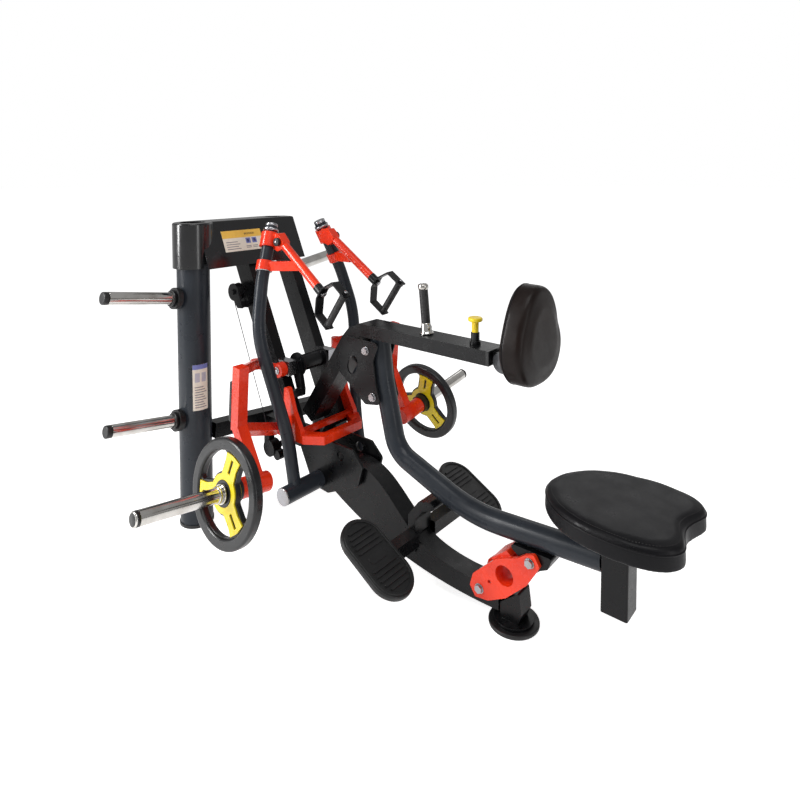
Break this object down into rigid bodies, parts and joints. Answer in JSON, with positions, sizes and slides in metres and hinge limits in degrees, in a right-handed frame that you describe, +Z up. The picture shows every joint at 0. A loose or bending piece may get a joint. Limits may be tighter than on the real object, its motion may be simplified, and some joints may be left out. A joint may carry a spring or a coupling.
{
  "type": "plate-loaded seated row machine",
  "caption": "Free-standing seated row machine with plate-loaded swinging arms, two pull levers with D-handles, chest pad, saddle seat and footplates.",
  "frame": {"origin": "floor level under the middle of the bounding box", "axes": "+X towards the seat, along the length; +Y towards the right hand of the seated user; +Z up"},
  "size_m": [1.9792, 1.7768, 1.2824],
  "materials": {
    "black_frame_paint": "satin black powder coat",
    "grey_frame_paint": "dark grey powder coat",
    "red_paint": "gloss orange-red paint",
    "black_hub_paint": "black paint",
    "horn_chrome": "bright chrome",
    "steel": "zinc-plated or bright steel",
    "shroud_plastic": "gloss black moulding",
    "black_rubber": "black rubber",
    "plate_rubber": "black rubber over cast iron",
    "yellow_plastic": "yellow",
    "black_plastic": "black nylon",
    "pad_leather": "smooth black synthetic leather",
    "label_film": "printed film",
    "cable_steel": "steel wire rope"
  },
  "bodies": {
    "frame": {"base_beam": "black_frame_paint", "base_side_plates": "black_frame_paint", "base_spacers": "black_frame_paint", "cable": "cable_steel", "pulley_cheeks": "black_hub_paint", "cable_anchor": "black_hub_paint", "chest_beam": "black_frame_paint", "chest_beam_trim": "black_plastic", "footplates": "black_rubber", "footrest_frame": "black_frame_paint", "frame_bolts": "steel", "frame_strut": "black_frame_paint", "front_foot_pad": "black_rubber", "front_foot_stem": "black_frame_paint", "front_link_casting": "red_paint", "gussets": "black_frame_paint", "hand_post_grip": "black_rubber", "hand_post_rod": "horn_chrome", "label_plates": "label_film", "masts": "black_frame_paint", "rear_cross_beam": "black_frame_paint", "rear_feet": "black_rubber", "seat_sleeve": "black_frame_paint", "seat_tube": "grey_frame_paint", "seat_tube_lug": "black_frame_paint", "spine_beam": "black_frame_paint", "storage_horn_trim": "black_rubber", "storage_horns": "horn_chrome", "swing_pivot": "steel", "top_beam": "black_frame_paint", "top_shroud": "shroud_plastic", "upright_tube": "grey_frame_paint"},
    "levers": {"lever_left": "grey_frame_paint", "lever_right": "grey_frame_paint", "lever_pivot": "grey_frame_paint", "lever_caps": "horn_chrome"},
    "weight_frame": {"swing_hub": "black_hub_paint", "yoke": "red_paint", "weight_arm_left": "red_paint", "weight_arm_right": "red_paint", "weight_bumpers": "black_rubber", "weight_horns": "horn_chrome"},
    "arm_right": {"handle_arm_right": "red_paint"},
    "arm_left": {"handle_arm_left": "red_paint"},
    "grip_right": {"handle_stirrup_right": "black_hub_paint", "handle_grip_right": "black_rubber"},
    "grip_left": {"handle_stirrup_left": "black_hub_paint", "handle_grip_left": "black_rubber"},
    "plate_right": {"weight_plate_right": "plate_rubber", "plate_insert_right": "yellow_plastic"},
    "plate_left": {"weight_plate_left": "plate_rubber", "plate_insert_left": "yellow_plastic"},
    "chest_slider": {"chest_slide": "black_frame_paint"},
    "chest_rest": {"pad_bracket": "black_frame_paint", "chest_pad": "pad_leather"},
    "chest_pin": {"chest_pull_pin": "yellow_plastic"},
    "seat": {"seat_post": "black_frame_paint", "seat_cushion": "pad_leather"},
    "seat_pin": {"seat_pull_pin": "black_plastic"},
    "sheave": {"pulley_sheave": "black_plastic"}
  },
  "joints": [
    {"name": "lever_swing", "type": "hinge", "parent": "frame", "child": "levers", "pos_m": [-0.443, 0, 0.225], "axis": [0, 1, 0], "range_deg": [0, 35]},
    {"name": "weight_swing", "type": "hinge", "parent": "frame", "child": "weight_frame", "pos_m": [-0.573, 0, 0.677], "axis": [0, 1, 0], "range_deg": [-25.5, 0]},
    {"name": "arm_swivel_right", "type": "hinge", "parent": "levers", "child": "arm_right", "pos_m": [-0.6256, 0.1768, 1.16], "axis": [-0.1826, -0.3652, 0.9129], "range_deg": [-4, 25]},
    {"name": "arm_swivel_left", "type": "hinge", "parent": "levers", "child": "arm_left", "pos_m": [-0.6256, -0.1768, 1.16], "axis": [-0.1826, 0.3652, 0.9129], "range_deg": [-25, 4]},
    {"name": "handle_swivel_right", "type": "hinge", "parent": "arm_right", "child": "grip_right", "pos_m": [-0.348, 0.153, 1.048], "axis": [0.8214, 0.0446, -0.5686], "range_deg": [-60, 60]},
    {"name": "handle_swivel_left", "type": "hinge", "parent": "arm_left", "child": "grip_left", "pos_m": [-0.348, -0.153, 1.048], "axis": [0.8214, -0.0446, -0.5686], "range_deg": [-60, 60]},
    {"name": "plate_slide_right", "type": "slide", "parent": "weight_frame", "child": "plate_right", "axis": [0, 0.9888, 0.1495], "range_m": [0, 0.28]},
    {"name": "plate_slide_left", "type": "slide", "parent": "weight_frame", "child": "plate_left", "axis": [0, -0.9888, 0.1495], "range_m": [0, 0.28]},
    {"name": "chest_pad_reach", "type": "slide", "parent": "frame", "child": "chest_slider", "axis": [1, 0, 0], "range_m": [0, 0.1]},
    {"name": "chest_pad_tilt", "type": "hinge", "parent": "chest_slider", "child": "chest_rest", "pos_m": [0.395, 0, 0.868], "axis": [0, 1, 0], "range_deg": [-8, 8]},
    {"name": "chest_pin_pull", "type": "slide", "parent": "frame", "child": "chest_pin", "axis": [0, 0, 1], "range_m": [0, 0.012], "stiffness_N_per_m": 1500},
    {"name": "seat_height", "type": "slide", "parent": "frame", "child": "seat", "axis": [0, 0, 1], "range_m": [0, 0.1]},
    {"name": "seat_pin_pull", "type": "slide", "parent": "frame", "child": "seat_pin", "axis": [0, 1, 0], "range_m": [0, 0.012], "stiffness_N_per_m": 1500},
    {"name": "sheave_spin", "type": "hinge", "parent": "frame", "child": "sheave", "pos_m": [-0.851, -0.17, 0.968], "axis": [0, 1, 0], "range_deg": [-75, 5]}
  ],
  "couplings": [
    {"joint": "lever_swing", "follows": "weight_swing", "ratio": -1.37},
    {"joint": "sheave_spin", "follows": "weight_swing", "ratio": 2.7}
  ]
}
